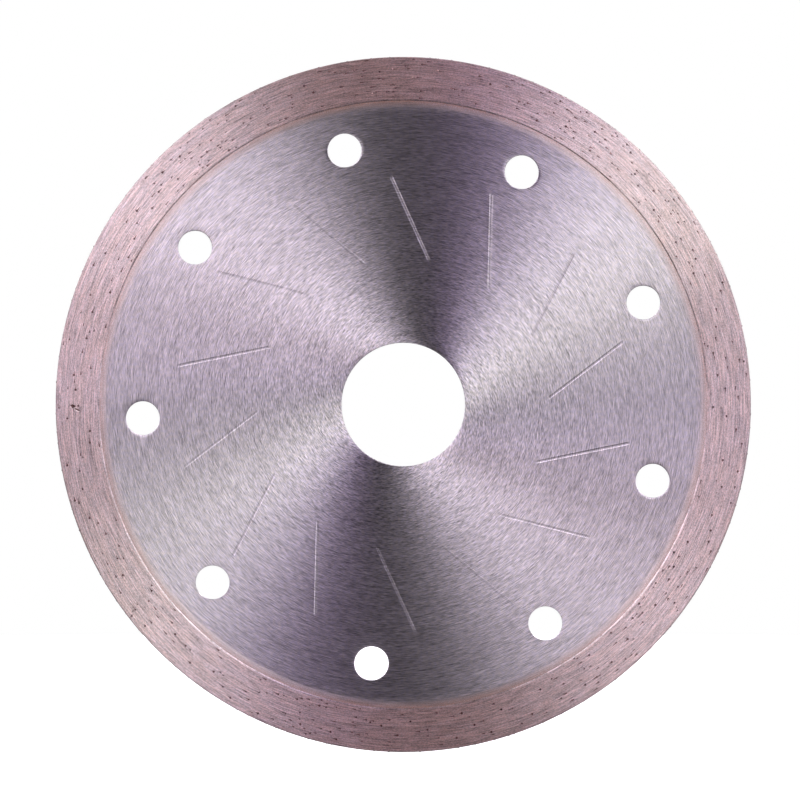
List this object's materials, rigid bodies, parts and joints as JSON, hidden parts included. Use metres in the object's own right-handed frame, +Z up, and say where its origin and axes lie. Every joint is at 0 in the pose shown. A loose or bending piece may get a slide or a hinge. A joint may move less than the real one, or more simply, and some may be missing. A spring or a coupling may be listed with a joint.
{
  "type": "diamond blade",
  "caption": "Thin continuous-rim diamond cutting blade: brushed steel disc with an arbor bore, cooling holes and tension grooves, and a proud sintered copper-coloured diamond rim.",
  "frame": {"origin": "centre of the arbor bore at half the thickness of the steel core", "axes": "+Y along the blade's axis towards the rear face, so the front face looks towards -Y; +Z up; the blade stands upright"},
  "size_m": [0.125, 0.0016, 0.125],
  "materials": {
    "ground_steel": "rotary-ground tool steel, fine curved grain",
    "bond_metal": "sintered copper-tin bond, turned flush",
    "matrix_metal": "sintered bronze matrix, ground around the axis",
    "diamond": "dark synthetic diamond grit, glassy facets"
  },
  "bodies": {
    "root": {"steel_core": "ground_steel", "bond_ring": "bond_metal", "diamond_rim": "matrix_metal", "front_face_diamonds": "diamond", "rear_face_diamonds": "diamond", "edge_diamonds": "diamond"}
  },
  "joints": []
}
